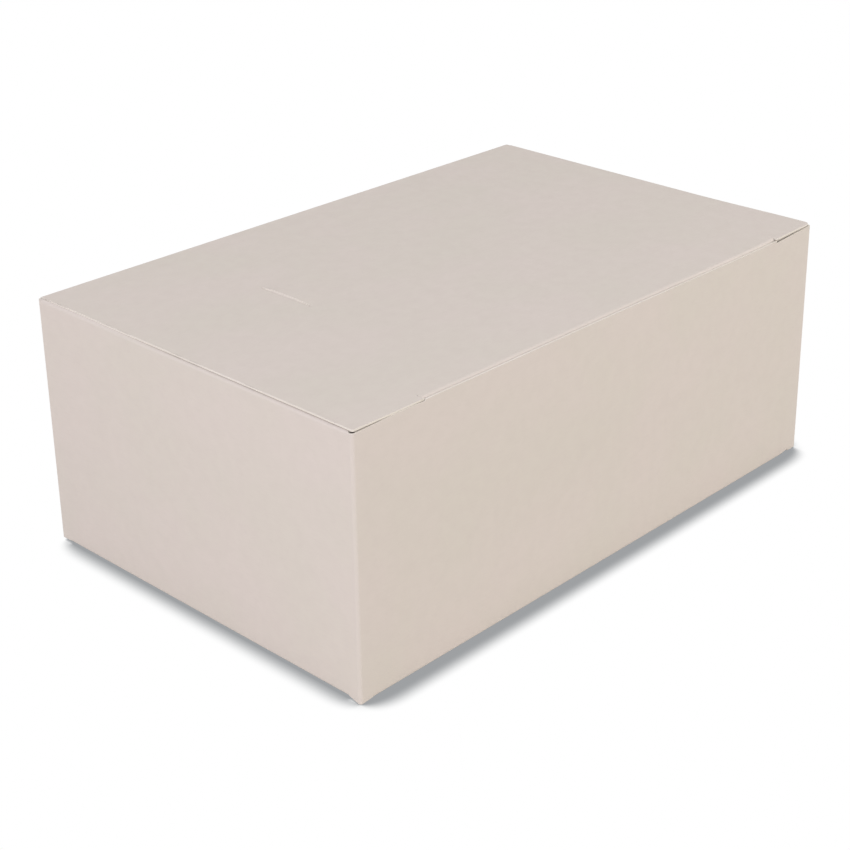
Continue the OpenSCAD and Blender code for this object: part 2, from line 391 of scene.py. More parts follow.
def folded_board(name, flat, triangles, fold, kind, crease, sheet_at, sealed):
    """A closed mesh of board from a flat piece: both faces and the raw edges between them.

    fold(flat, kind) gives the middle surface, crease(flat, kind) how close each point is to a
    fold, sheet_at the place of the piece's own origin on the blank, and sealed(flat) tells
    where the border meets another piece of the same sheet.
    """
    ds = np.array([PROBE, 0])
    dh = np.array([0, PROBE])
    middle = fold(flat, kind)
    along = fold(flat + ds, kind) - fold(flat - ds, kind)
    up = fold(flat + dh, kind) - fold(flat - dh, kind)
    normal = np.cross(up, along)
    normal /= np.linalg.norm(normal, axis=1)[:, None]

    rim = rim_of(triangles)
    border = np.unique(rim)
    out = np.zeros_like(flat)
    d = flat[rim[:, 1]] - flat[rim[:, 0]]
    side = np.stack([d[:, 1], -d[:, 0]], 1) / np.linalg.norm(d, axis=1)[:, None]
    np.add.at(out, rim[:, 0], side)
    np.add.at(out, rim[:, 1], side)
    out = out[border] / np.linalg.norm(out[border], axis=1)[:, None]
    outward = out[:, :1] * along[border] + out[:, 1:] * up[border]
    outward -= (outward * normal[border]).sum(1)[:, None] * normal[border]
    outward /= np.linalg.norm(outward, axis=1)[:, None]
    soft = np.where(sealed(flat[border]), 0, SOFT_EDGE)[:, None]

    close = crease(flat, kind)
    half = BOARD / 2
    front = middle + normal * half
    back = middle - normal * (half + BEAD * close**2)[:, None]
    front[border] -= outward * soft
    back[border] = middle[border] - normal[border] * half - outward * soft
    high = middle[border] + normal[border] * (half - SOFT_EDGE)
    low = middle[border] - normal[border] * (half - SOFT_EDGE)

    count, edge_count = len(flat), len(border)
    place = np.zeros(count, int)
    place[border] = np.arange(edge_count)
    high_at = 2 * count + place
    low_at = high_at + edge_count
    a, b = rim[:, 0], rim[:, 1]
    faces = triangles[:, ::-1].tolist()
    faces += (triangles + count).tolist()
    for upper_a, upper_b, lower_a, lower_b in (
        (a, b, high_at[a], high_at[b]),
        (high_at[a], high_at[b], low_at[a], low_at[b]),
        (low_at[a], low_at[b], a + count, b + count),
    ):
        faces += np.stack([upper_a, upper_b, lower_b, lower_a], 1).tolist()

    mesh = bpy.data.meshes.new(name)
    mesh.from_pydata(np.concatenate([front, back, high, low]).tolist(), [], faces)
    sides = np.full(len(faces), 2, np.int32)
    sides[: len(triangles)] = 0
    sides[len(triangles) : 2 * len(triangles)] = 1
    mesh.polygons.foreach_set("material_index", sides)
    mesh.polygons.foreach_set("use_smooth", np.ones(len(faces), bool))

    sheet = np.zeros((len(mesh.vertices), 3), np.float32)
    blank = flat + np.array(sheet_at)
    sheet[:, :2] = np.concatenate([blank, blank, blank[border], blank[border]])
    sheet[count : 2 * count, 2] = BOARD
    sheet[2 * count + edge_count :, 2] = BOARD
    mesh.attributes.new("sheet", "FLOAT_VECTOR", "POINT").data.foreach_set("vector", sheet.ravel())
    # How close each point is to a fold, which drives the cracks and the paler fold tone: partly
    # worn coating, partly painted highlight
    worn_and_highlit = np.concatenate([close, close, close[border], close[border]]).astype(np.float32)
    mesh.attributes.new("crease", "FLOAT", "POINT").data.foreach_set("value", worn_and_highlit)
    mesh.update()
    mesh.normals_split_custom_set_from_vertices(
        np.concatenate([normal, -normal, outward, outward]).tolist()
    )
    obj = bpy.data.objects.new(name, mesh)
    bpy.context.scene.collection.objects.link(obj)
    for material in (COATED, BACK, RAW_EDGE_HIGHLIT):
        mesh.materials.append(material)
    return obj


# The walls along the blank: each straight stretch, with a folded corner after it
LENGTHS = {
    "glue": GLUE_WIDTH,
    "right": WIDTH - BOARD - 2 * FOLD_OUT,
    "front": LENGTH - 2 * FOLD_OUT,
    "left": WIDTH - 2 * FOLD_OUT,
    "rear": LENGTH - FOLD_OUT - SEAM_SETBACK,
}
START = {}
END = {}
reached = 0
for wall_name, wall_length in LENGTHS.items():
    START[wall_name] = reached
    END[wall_name] = reached + wall_length
    reached = END[wall_name] + ARC


def plan(s):
    """The walls' middle surface in plan at s, and its outward direction."""
    point = np.zeros((len(s), 2))
    outward = np.zeros((len(s), 2))
    at = np.array([LENGTH / 2 - FOLD_OUT - GLUE_WIDTH, WIDTH / 2 - BOARD - FOLD_OUT + FOLD_MID])
    ahead = np.array([1.0, 0.0])
    for name in LENGTHS:
        out = np.array([-ahead[1], ahead[0]])
        on = s >= START[name] if START[name] else np.ones(len(s), bool)
        point[on] = at + np.outer(s[on] - START[name], ahead)
        outward[on] = out
        at = at + ahead * LENGTHS[name]
        centre = at - out * FOLD_MID
        if name != "rear":
            on = s > END[name]
            turn = np.clip((s[on] - END[name]) / FOLD_MID, 0, math.pi / 2)
            outward[on] = np.outer(np.cos(turn), out) + np.outer(np.sin(turn), ahead)
            point[on] = centre + outward[on] * FOLD_MID
        at = centre + ahead * FOLD_MID
        ahead = -out
    return point, outward


def from_left(distance):
    """s on the front wall, from the distance to the left end wall's face."""
    return END["front"] + FOLD_OUT - distance


def end_wall(s):
    on_right = (s > START["right"] - NUDGE) & (s < END["right"] + NUDGE)
    return on_right | ((s > START["left"] - NUDGE) & (s < END["left"] + NUDGE))


def flap_span(name):
    """s at the two ends of a wall's bottom flap."""
    rear_right = BOARD if name == "right" else 0
    seam = FOLD_OUT - SEAM_SETBACK if name == "rear" else 0
    return START[name] + FLAP_GAP - FOLD_OUT - rear_right, END[name] - FLAP_GAP + FOLD_OUT - seam


def dust_span(name):
    """s at the two ends of an end wall's dust flap."""
    if name == "right":
        first = START[name] + DUST_REAR_GAP - FOLD_OUT - BOARD
        return first, END[name] - DUST_FRONT_GAP + FOLD_OUT
    return START[name] + DUST_FRONT_GAP - FOLD_OUT, END[name] - DUST_REAR_GAP + FOLD_OUT


def between(s, span):
    return (s > span[0] - NUDGE) & (s < span[1] + NUDGE)


def bottom_fold_z(s):
    return np.where(end_wall(s), END_FOLD_Z, LONG_FOLD_Z)


def toe_span(name):
    """s at the two ends of a dust flap with the part that reaches on under the lid's ear."""
    reach = DUST_FRONT_GAP - DUST_TOE_GAP
    first, last = dust_span(name)
    return (first, last + reach) if name == "right" else (first - reach, last)


def carton_kind(flat):
    s, h = flat.T
    kind = np.full(len(s), WALL)
    for name in ("right", "front", "left", "rear"):
        kind[between(s, flap_span(name)) & (h < bottom_fold_z(s) - NUDGE)] = BOTTOM
    for name in ("right", "left"):
        kind[between(s, dust_span(name)) & (h > DUST_FOLD_Z + NUDGE)] = DUST
        kind[between(s, toe_span(name)) & (h > DUST_FOLD_Z + ARC - NUDGE)] = DUST
    return kind


def tongue_span(name):
    """s at the two sides of a long wall's tongue, on the half where s is high."""
    if name == "front":
        return from_left(TONGUE_TO), from_left(TONGUE_FROM)
    far = END["rear"] + SEAM_SETBACK
    return far - TONGUE_TO, far - TONGUE_FROM


def past_fold(run):
    """Distance along the board from a fold's start, for a distance from the wall's face."""
    return ARC + run - FOLD_OUT


def wall_bow(s, h):
    """How far the walls stand out from their plane: each one is drawn in a little."""
    bow = np.zeros(len(s))
    for name, (depth, top) in WALL_BOWS.items():
        inner = BOW_SHORT_OF_SEAM if name == "rear" else 0
        across = (s - START[name]) / (LENGTHS[name] - inner)
        up = (h - BOW_FROM) / (top * BODY_TOP - BOW_FROM)
        bow -= hump(across) * hump(up) * (depth + BOW_RIPPLE * ripple(s, h))
    return bow


def dust_sag(s, run):
    """How far a dust flap hangs below the lid's underside."""
    return (DUST_SAG + DUST_RIPPLE * ripple(s, run)) * smooth(run / DUST_SAG_OVER)


def corner_rise(x, y):
    """How far the front right corner stands above the rest of the top."""
    across = smooth(1 - (LENGTH / 2 - x) / RISE_X)
    return TOP_DROP * across * smooth(1 - (y + WIDTH / 2) / RISE_Y)


def crest(x, y):
    """How far the left wall's fold stands up beside the lid, towards the rear."""
    at_wall = smooth(1 - (x + LENGTH / 2 - BOARD / 2) / FOLD_MID)
    return CREST * at_wall * smooth(1 - (WIDTH / 2 - y - CREST_START) / CREST_FADE)


def carton_fold(flat, kind):
    """The middle surface of the walls with all their flaps."""
    s, h = flat.T
    held = s.copy()
    for name in ("right", "left"):
        on = (kind == DUST) & ((s < END["front"]) == (name == "right"))
        held[on] = np.clip(s[on], START[name], END[name])
    point, outward = plan(held)
    point += np.column_stack([outward[:, 1], -outward[:, 0]]) * (s - held)[:, None]
    low = bottom_fold_z(s)
    over = np.where(kind == BOTTOM, low - h, np.where(kind == DUST, h - DUST_FOLD_Z, 0))
    angle = np.clip(over, 0, ARC) / FOLD_MID
    run = np.maximum(over - ARC, 0)
    inward = FOLD_MID * (1 - np.cos(angle)) + run
    drop = FOLD_MID * np.sin(angle)
    z = np.where(kind == BOTTOM, low - drop, np.where(kind == DUST, DUST_FOLD_Z + drop, h))
    inward = inward - np.where(kind == WALL, wall_bow(s, h), 0)
    place = np.column_stack([point - outward * inward[:, None], z])
    rise = corner_rise(*point.T) + crest(*point.T)
    share = smooth((h - RISE_FROM) / (BODY_TOP - RISE_FROM))
    place[:, 2] += np.where(kind == WALL, rise * share, 0)
    reach = run + FOLD_OUT
    for name in ("front", "rear"):
        on = (kind == BOTTOM) & between(s, tongue_span(name))
        place[on, 2] += PLY * smooth((reach[on] - TONGUE_START) / TONGUE_RAMP)
    on = kind == DUST
    place[on, 2] += lid_sag(place[on, 0], place[on, 1]) + corner_rise(place[on, 0], place[on, 1])
    place[on, 2] += (crest(*point.T) * smooth(1 - run / CREST_WIDTH) - dust_sag(s, run))[on]
    on = kind == BOTTOM
    place[on, 2] += CREASE_DEPTH * crease_line(s, reach)[on]
    return place


def crease_line(s, reach):
    """The scored line on each long flap, from 1 on the line to 0 beside it."""
    found = np.zeros(len(s))
    for name in ("front", "rear"):
        off = ((s - flap_span(name)[0]) - (reach - FOLD_OUT)) / math.sqrt(2)
        held = between(s, flap_span(name)) & ~end_wall(s)
        found += np.where(held, np.exp(-((off / CREASE_WIDTH) ** 2)), 0)
    return found


def carton_crease(flat, kind):
    """How close each point is to a fold, from 0 to 1."""
    s, h = flat.T
    found = np.zeros(len(s))
    for name in ("glue", "right", "front", "left"):
        held = np.full(len(s), True) if name != "glue" else (h > GLUE_LOW) & (h < GLUE_HIGH)
        off = s - END[name] - ARC / 2
        found = np.maximum(found, np.where(held, np.exp(-((off / BEAD_WIDTH) ** 2)), 0))
    off = bottom_fold_z(s) - h - ARC / 2
    found = np.maximum(found, np.where(kind == BOTTOM, np.exp(-((off / BEAD_WIDTH) ** 2)), 0))
    off = h - DUST_FOLD_Z - ARC / 2
    return np.maximum(found, np.where(kind == DUST, np.exp(-((off / BEAD_WIDTH) ** 2)), 0))


def wall_outline():
    """The four walls, without flaps, with the front wall's gaps along its top edge."""
    loop = []
    foot_heights = {
        "right": (0, RIGHT_FOOT),
        "front": (RIGHT_FOOT, 0),
        "left": (0, REAR_FOOT),
        "rear": (REAR_FOOT, 0),
    }
    for name, (foot, next_foot) in foot_heights.items():
        first, last = flap_span(name)
        z = float(bottom_fold_z(np.array([first]))[0])
        loop += [
            (START[name], foot + FOOT_TIP),
            (first - FOOT_CUT, z - FOOT_DEPTH),
            (first - FOOT_CUT, z),
            (last + FOOT_CUT, z),
            (last + FOOT_CUT, z - FOOT_DEPTH),
            (END[name], next_foot + FOOT_TIP),
        ]
        if name != "rear":
            loop.append((END[name] + ARC / 2, next_foot))
    rear_middle = START["rear"] - FOLD_OUT + LENGTH / 2
    join = HINGE_Z + STRIP_LOW
    loop += [(END["rear"], 0.0), (END["rear"], join), (rear_middle + STRIP_LEFT, join)]
    for k in range(ARC_STEPS - 2, -1, -1):
        c = math.cos(math.pi / 2 * k / ARC_STEPS)
        top = HINGE_Z + FOLD_OUT * c - CREST * float(smooth(c))
        loop += [(END["left"] + ARC * k / ARC_STEPS, min(BODY_TOP, top))]
    first, last = dust_span("left")
    inner = from_left(LENGTH - LOCK_RIGHT)
    loop += [
        (last, BODY_TOP),
        (last, DUST_FOLD_Z),
        (first, DUST_FOLD_Z),
        (first, BODY_TOP - LEFT_GAP),
        (from_left(FOLD_OUT), BODY_TOP - LEFT_GAP),
        (from_left(LEFT_GAP_LENGTH), BODY_TOP + LEFT_SHUT),
        (from_left(LEFT_SHUT_TO), BODY_TOP + LEFT_SHUT),
        (from_left(LOCK_LEFT + CUT), BODY_TOP - LEFT_SHUT),
        (from_left(LOCK_LEFT + 2 * CUT), BODY_TOP + RAISED),
        (from_left(RAISED_TO), BODY_TOP + RAISED),
        (from_left(RAISED_END), BODY_TOP),
        (inner, BODY_TOP),
        (inner, BODY_TOP - RIGHT_GAP, RIGHT_GAP_RADIUS),
        (START["front"], BODY_TOP - RIGHT_GAP_AT_CORNER),
    ]
    first, last = dust_span("right")
    loop += [
        (last, BODY_TOP - RIGHT_GAP_AT_CORNER),
        (last, DUST_FOLD_Z),
        (first, DUST_FOLD_Z),
        (first, BODY_TOP),
        (START["right"], BODY_TOP),
    ]
    return rounded(*loop)


def glue_outline():
    return [
        (0.0, GLUE_LOW + GLUE_TAPER),
        (END["glue"], GLUE_LOW),
        (START["right"], GLUE_LOW),
        (START["right"], GLUE_HIGH),
        (END["glue"], GLUE_HIGH),
        (0.0, GLUE_HIGH - GLUE_TAPER),
    ]


def dust_outline(name):
    """A dust flap, whose front shoulder reaches on under the lid's ear as far as the slit."""
    first, last = dust_span(name)
    if name == "left":
        front, rear, toe = first, last, toe_span(name)[0]
        lock, way = LOCK_LEFT, 1
    else:
        front, rear, toe = last, first, toe_span(name)[1]
        lock, way = LOCK_RIGHT, -1
    front_taper = way * (DUST_REACH - lock) * math.tan(DUST_TAPER)
    rear_taper = way * (DUST_REACH - DUST_SHOULDER) * math.tan(DUST_TAPER)
    start = DUST_FOLD_Z + ARC
    slit = DUST_FOLD_Z + past_fold(lock)
    end = DUST_FOLD_Z + past_fold(DUST_REACH)
    return rounded(
        (front, DUST_FOLD_Z),
        (front, start),
        (toe, start + TOE_FROM_FOLD),
        (toe, slit - TOE_SLOPE),
        (front, slit),
        (front + front_taper, end, DUST_RADIUS),
        (rear - rear_taper, end, DUST_RADIUS),
        (rear, DUST_FOLD_Z + past_fold(DUST_SHOULDER)),
        (rear, DUST_FOLD_Z),
    )


def end_outline(name):
    first, last = flap_span(name)
    taper = (END_REACH - FOLD_OUT) * math.tan(END_TAPER)
    low = END_FOLD_Z - past_fold(END_REACH)
    return rounded(
        (first, END_FOLD_Z),
        (first, END_FOLD_Z - ARC),
        (first + taper, low, FLAP_RADIUS),
        (last - taper, low, FLAP_RADIUS),
        (last, END_FOLD_Z - ARC),
        (last, END_FOLD_Z),
    )


def long_outline(name):
    """A long flap, with its tongue between two short cuts on its far half."""
    first, last = flap_span(name)
    near_side, far_side = tongue_span(name)
    taper = (LONG_REACH - FOLD_OUT) * math.tan(LONG_TAPER)
    low = LONG_FOLD_Z - past_fold(LONG_REACH)
    cut = LONG_FOLD_Z - past_fold(TONGUE_START)
    tip = LONG_FOLD_Z - past_fold(TONGUE_REACH)
    return rounded(
        (first, LONG_FOLD_Z),
        (first, low, FLAP_RADIUS),
        (near_side - CUT, low),
        (near_side - CUT, cut),
        (near_side, cut),
        (near_side, tip, FLAP_RADIUS),
        (far_side, tip, FLAP_RADIUS),
        (far_side, cut),
        (far_side + CUT, cut),
        (far_side + CUT, low),
        (last - taper, low, FLAP_RADIUS),
        (last, LONG_FOLD_Z - ARC),
        (last, LONG_FOLD_Z),
    )


def arc_lines(span, start, way):
    """Lines across a fold of the board that starts at height start."""
    return [
        ((span[0], start + way * ARC * k / ARC_STEPS), (span[1], start + way * ARC * k / ARC_STEPS))
        for k in range(ARC_STEPS + 1)
    ]


def build_carton():
    regions = [wall_outline(), glue_outline()]
    creases = []
    points = []
    for name in ("right", "left"):
        regions += [dust_outline(name), end_outline(name)]
        creases += arc_lines(dust_span(name), DUST_FOLD_Z, 1)
        first, last = dust_span(name)
        for off in BEND_ROWS:
            row = DUST_FOLD_Z + ARC + off
            creases.append(((first, row), (last, row)))
        creases += arc_lines(flap_span(name), END_FOLD_Z, -1)
    for name in ("front", "rear"):
        regions.append(long_outline(name))
        creases += arc_lines(flap_span(name), LONG_FOLD_Z, -1)
        first = flap_span(name)[0]
        t = steps(CREASE_MARGINS[0], LONG_REACH - CREASE_MARGINS[1], FINE)
        for off in CREASE_ROWS:
            row = LONG_FOLD_Z - past_fold(FOLD_OUT + t - off)
            points.append(np.column_stack([first + t + off, row]))
        ramp = LONG_FOLD_Z - past_fold(steps(TONGUE_START, TONGUE_START + TONGUE_RAMP, FINE / 2))
        points.append(lattice(steps(*tongue_span(name), GRID), ramp))
    tall = steps(0, BODY_TOP, GRID)
    columns = []
    for name in LENGTHS:
        columns.append(steps(START[name], END[name], GRID))
        if name != "rear":
            columns.append(steps(END[name], END[name] + ARC, ARC / ARC_STEPS)[1:-1])
            bottom, top = (GLUE_LOW, GLUE_HIGH) if name == "glue" else (0.0, BODY_TOP)
            creases += [
                ((END[name] + ARC * k / ARC_STEPS, bottom), (END[name] + ARC * k / ARC_STEPS, top))
                for k in range(ARC_STEPS + 1)
            ]
    columns = np.concatenate(columns)
    below = LONG_FOLD_Z - ARC - steps(GRID / 2, TONGUE_REACH, GRID)
    above = DUST_FOLD_Z + ARC + steps(GRID / 2, DUST_REACH, GRID)
    points += [lattice(columns, tall), lattice(columns, below), lattice(columns, above)]
    flat, triangles = triangulate(regions, [], creases, np.concatenate(points))

    def sealed(p):
        return (np.abs(p[:, 1] - (HINGE_Z + STRIP_LOW)) < NUDGE) & (p[:, 0] > START["rear"])

    kind = carton_kind(flat)
    carton = folded_board(
        "carton", flat, triangles, carton_fold, kind, carton_crease, (0, 0), sealed
    )
    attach(carton, "carton")
    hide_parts("carton_body")


# The lid, in its own flat coordinates: x, and distance u along the board from the hinge fold
HINGE_Y = WIDTH / 2 - FOLD_OUT
TUCK_Y = -WIDTH / 2 + TUCK_BEHIND + FOLD_OUT
TUCK_START = ARC + HINGE_Y - TUCK_Y
EAR_FRONT = ARC + HINGE_Y + WIDTH / 2 - EAR_SETBACK
LOCK_X = (-LENGTH / 2 + LOCK_LEFT, LENGTH / 2 - LOCK_RIGHT)
SLIT_X = -LENGTH / 2 + SLIT_FROM_END
SLIT_Y = -WIDTH / 2 + SLIT_FROM_FRONT


def lid_sag(x, y):
    """How far the lid's panel sinks towards its middle."""
    depth = LID_SAG + LID_RIPPLE * ripple(x, y)
    return -depth * hump((x + LENGTH / 2) / LENGTH) * hump((y + WIDTH / 2) / WIDTH)


def lid_lift(x, y):
    """How far the lid's panel stands above its plane at a place on the box."""
    lift = lid_sag(x, y) + corner_rise(x, y)
    at_left = smooth(1 - (x + LENGTH / 2) / EDGE_LIFT_X)
    lift += EDGE_LIFT * at_left * smooth(1 - (y + WIDTH / 2) / EDGE_LIFT_Y)
    off = x - SLIT_X
    along = (y - SLIT_Y) / SLIT_LENGTH
    front, rear = SLIT_RISE_ENDS
    rise = smooth(along / front) * smooth((1 - along) / rear)
    rise = rise * (SLIT_RISE_AT_FRONT + (1 - SLIT_RISE_AT_FRONT) * along)
    return lift + SLIT_RISE * rise * smooth(1 - off / SLIT_RISE_REACH) * (off > 0)


def lid_kind(flat):
    x, u = flat.T
    middle = (x > LOCK_X[0] + CUT - NUDGE) & (x < LOCK_X[1] - CUT + NUDGE)
    return np.where((u > TUCK_START) & (middle | (u > EAR_FRONT + CUT / 4)), TUCK, PANEL)


def lid_fold(flat, kind):
    """The middle surface of the lid, from the rear wall's top over the panel to the tuck flap."""
    x, u = flat.T
    turn = np.clip(u, 0, ARC) / FOLD_MID
    y = HINGE_Y + FOLD_MID * np.cos(turn) - np.maximum(u - ARC, 0)
    z = HINGE_Z + FOLD_MID * np.sin(turn) + np.minimum(u, 0)
    over = u - TUCK_START
    turn = np.clip(over, 0, ARC) / FOLD_MID
    radius = WIDTH / 2 - TUCK_Y + FOLD_MID
    swing = np.maximum(over - ARC, 0) / radius
    bent = TUCK_Y - FOLD_MID * np.sin(turn)
    tuck_y = np.where(over < ARC, bent, WIDTH / 2 - radius * np.cos(swing))
    tuck_z = HINGE_Z + FOLD_MID * np.cos(turn) - radius * np.sin(swing)
    y = np.where(kind == TUCK, tuck_y, y)
    z = np.where(kind == TUCK, tuck_z, z)
    pressed = smooth((x - PRESSED_FROM) / PRESSED_OVER) * smooth((LOCK_X[1] - x) / PRESSED_FADE)
    y -= TUCK_PRESSED * pressed * smooth((u - TUCK_START + PRESSED_DEPTH) / PRESSED_DEPTH)
    return np.column_stack([x, y, z + lid_lift(x, np.maximum(y, -WIDTH / 2))])


def lid_crease(flat, kind):
    u = flat[:, 1]
    hinge = np.exp(-(((u - ARC / 2) / BEAD_WIDTH) ** 2))
    tuck = np.exp(-(((u - TUCK_START - ARC / 2) / BEAD_WIDTH) ** 2))
    return np.where(kind == TUCK, tuck, hinge)


def panel_outline():
    right = LENGTH / 2 - LID_SETBACK
    hook = TUCK_START - LOCK_HOOK
    return rounded(
        (STRIP_LEFT, STRIP_HIGH),
        (STRIP_RIGHT, STRIP_HIGH),
        (right, STRIP_HIGH + LID_EDGE_STEP),
        (right, EAR_FRONT, EAR_RADIUS_RIGHT),
        (LOCK_X[1], EAR_FRONT),
        (LOCK_X[1], hook),
        (LOCK_X[1] - CUT, hook),
        (LOCK_X[1] - CUT, TUCK_START),
        (LOCK_X[0] + CUT, TUCK_START),
        (LOCK_X[0] + CUT, hook),
        (LOCK_X[0], hook),
        (LOCK_X[0], EAR_FRONT),
        (-right, EAR_FRONT, EAR_RADIUS_LEFT),
    )


def tuck_outline():
    end = LENGTH / 2 - BOARD - TUCK_END_GAP
    low = TUCK_START + ARC + TUCK_DEPTH
    return rounded(
        (LOCK_X[1] - CUT, TUCK_START),
        (LOCK_X[1] - CUT, EAR_FRONT + CUT),
        (end, EAR_FRONT + CUT),
        (end, low, TUCK_RADIUS),
        (-end, low, TUCK_RADIUS),
        (-end, EAR_FRONT + CUT),
        (LOCK_X[0] + CUT, EAR_FRONT + CUT),
        (LOCK_X[0] + CUT, TUCK_START),
    )


def lid_columns():
    return steps(STRIP_LEFT, STRIP_RIGHT, GRID)


def at_strip(flat):
    """Where the lid's panel and the bending strip meet other board of the sheet."""
    u = flat[:, 1]
    return (np.abs(u - STRIP_LOW) < NUDGE) | (np.abs(u - STRIP_HIGH) < NUDGE)


def build_lid():
    sheet_at = (START["rear"] - FOLD_OUT + LENGTH / 2, HINGE_Z)
    far = ARC + HINGE_Y - SLIT_Y
    slit = [
        (SLIT_X, far - SLIT_LENGTH),
        (SLIT_X + SLIT_WIDTH, far - SLIT_LENGTH),
        (SLIT_X + SLIT_WIDTH, far),
        (SLIT_X, far),
    ]
    span = (LOCK_X[0] + CUT, LOCK_X[1] - CUT)
    creases = arc_lines(span, TUCK_START, 1)
    rows = steps(STRIP_HIGH, TUCK_START, GRID)
    columns = np.concatenate(
        [[-LENGTH / 2 + SIDE_MARGIN], lid_columns(), [LENGTH / 2 - SIDE_MARGIN]]
    )
    points = np.concatenate([
        lattice(columns, rows),
        lattice(columns, steps(TUCK_START + ARC, TUCK_START + ARC + TUCK_DEPTH, GRID)),
        lattice(
            SLIT_X + steps(-SLIT_MARGIN, SLIT_PATCH, FINE),
            steps(far - SLIT_LENGTH - SLIT_MARGIN, far + SLIT_MARGIN, FINE),
        ),
    ])
    flat, triangles = triangulate([panel_outline(), tuck_outline()], [slit], creases, points)
    lid = folded_board(
        "lid_panel", flat, triangles, lid_fold, lid_kind(flat), lid_crease, sheet_at, at_strip
    )
    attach(lid, "lid")
    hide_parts("lid")

    outline = [
        (STRIP_LEFT, STRIP_LOW),
        (STRIP_RIGHT, STRIP_LOW),
        (STRIP_RIGHT, STRIP_HIGH),
        (STRIP_LEFT, STRIP_HIGH),
    ]
    rows = np.concatenate([
        [STRIP_LOW / 2],
        steps(0, ARC, ARC / ARC_STEPS),
        steps(ARC, STRIP_HIGH, STRIP_STEP)[1:-1],
    ])
    creases = [((STRIP_LEFT, r), (STRIP_RIGHT, r)) for r in rows]
    flat, triangles = triangulate([outline], [], creases, lattice(lid_columns(), rows))
    strip = folded_board(
        "hinge_fold", flat, triangles, lid_fold, lid_kind(flat), lid_crease, sheet_at, at_strip
    )
    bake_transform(strip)


def from_display(red, green, blue):
    """A colour in linear light, from its values from 0 to 255 on a display."""
    return tuple(
        c / 12.92 if c <= 0.04045 else ((c + 0.055) / 1.055) ** 2.4
        for c in (red / 255, green / 255, blue / 255)
    ) + (1.0,)


class Nodes:
    """A short way to add and join the nodes of one tree."""

    def __init__(self, tree):
        self.tree = tree
        tree.nodes.clear()

    def add(self, kind, values=None, **settings):
        node = self.tree.nodes.new(kind)
        for name, value in settings.items():
            setattr(node, name, value)
        for socket, value in (values or {}).items():
            if isinstance(value, bpy.types.NodeSocket):
                self.tree.links.new(value, node.inputs[socket])
            else:
                node.inputs[socket].default_value = value
        return node

    def noise(self, place, scale, detail=2.0, stretch=(1, 1, 1)):
        mapped = self.add("ShaderNodeMapping", {"Vector": place, "Scale": stretch})
        values = {"Vector": mapped.outputs[0], "Scale": scale, "Detail": detail}
        return self.add("ShaderNodeTexNoise", values).outputs["Fac"]

    def ranged(self, value, low, high, to_low, to_high):
        values = {0: value, 1: low, 2: high, 3: to_low, 4: to_high}
        return self.add("ShaderNodeMapRange", values).outputs[0]

    def math(self, operation, a, b):
        return self.add("ShaderNodeMath", {0: a, 1: b}, operation=operation).outputs[0]

    def mixed(self, factor, a, b):
        node = self.add("ShaderNodeMix", data_type="RGBA")
        for socket, value in ((0, factor), (6, a), (7, b)):
            if isinstance(value, bpy.types.NodeSocket):
                self.tree.links.new(value, node.inputs[socket])
            else:
                node.inputs[socket].default_value = value
        return node.outputs[2]


def paper(name, tones, roughness, fibre_depth):
    """Paperboard: faint clouds of tone, short fibres along the sheet, and paler, cracked folds
    whose paleness is partly worn coating and partly a painted highlight.
    """
    tone, warm_tone, worn_and_highlit_tone = (from_display(*values) for values in tones)
    material = bpy.data.materials.new(name)
    material.use_nodes = True
    n = Nodes(material.node_tree)
    sheet = n.add("ShaderNodeAttribute", attribute_name="sheet").outputs["Vector"]
    fold = n.add("ShaderNodeAttribute", attribute_name="crease").outputs["Fac"]
    clouds = n.noise(sheet, CLOUD_SCALE, 3.0)
    mottle = n.noise(sheet, MOTTLE_SCALE, 4.0)
    fibres = n.noise(sheet, FIBRE_SCALE, 4.0, FIBRE_STRETCH)
    specks = n.noise(sheet, SPECK_SCALE, 2.0)

    colour = n.mixed(n.ranged(clouds, 0.36, 0.64, 0.0, 1.0), tone, warm_tone)
    dark = [c * DARK_SHARE for c in tone[:3]] + [1.0]
    colour = n.mixed(n.ranged(mottle, 0.35, 0.75, 0.0, 0.3), colour, dark)
    colour = n.mixed(n.ranged(fibres, 0.52, 0.8, 0.0, 0.35), colour, dark)
    # Folds turn paler: partly worn, cracked coating and partly a painted highlight along the fold
    worn_and_highlit = n.math("MULTIPLY", fold, n.ranged(mottle, 0.3, 0.7, 0.15, 0.6))
    colour = n.mixed(worn_and_highlit, colour, worn_and_highlit_tone)

    by_mottle = n.ranged(mottle, 0.3, 0.7, -0.05, 0.05)
    by_fibre = n.ranged(fibres, 0.3, 0.7, -0.04, 0.04)
    gloss = n.math("ADD", n.math("ADD", by_mottle, by_fibre), roughness)
    cracks = n.noise(sheet, CRACK_SCALE, 3.0)
    cracked = n.math("MULTIPLY", fold, n.ranged(cracks, 0.35, 0.65, 0.0, 1.0))
    height = n.math("ADD", n.math("MULTIPLY", fibres, 0.7), n.math("MULTIPLY", specks, 0.3))
    height = n.math("ADD", height, n.math("MULTIPLY", cracked, 0.5))
    bump = n.add("ShaderNodeBump", {"Strength": 0.6, "Distance": fibre_depth, "Height": height})
    shader = n.add(
        "ShaderNodeBsdfPrincipled",
        {
            "Base Color": colour,
            "Roughness": gloss,
            "Specular IOR Level": 0.3,
            "Normal": bump.outputs[0],
        },
    )
    n.add("ShaderNodeOutputMaterial", {"Surface": shader.outputs[0]})
    return material


COATED = paper("coated_board", COATED_TONES, 0.52, 0.012 * MM)
BACK = paper("board_back", BACK_TONES, 0.78, 0.03 * MM)
# The raw edges' paleness is partly the uncoated core and partly a painted highlight
RAW_EDGE_HIGHLIT = paper("raw_edge_highlit", RAW_AND_HIGHLIT_TONES, 0.9, 0.05 * MM)


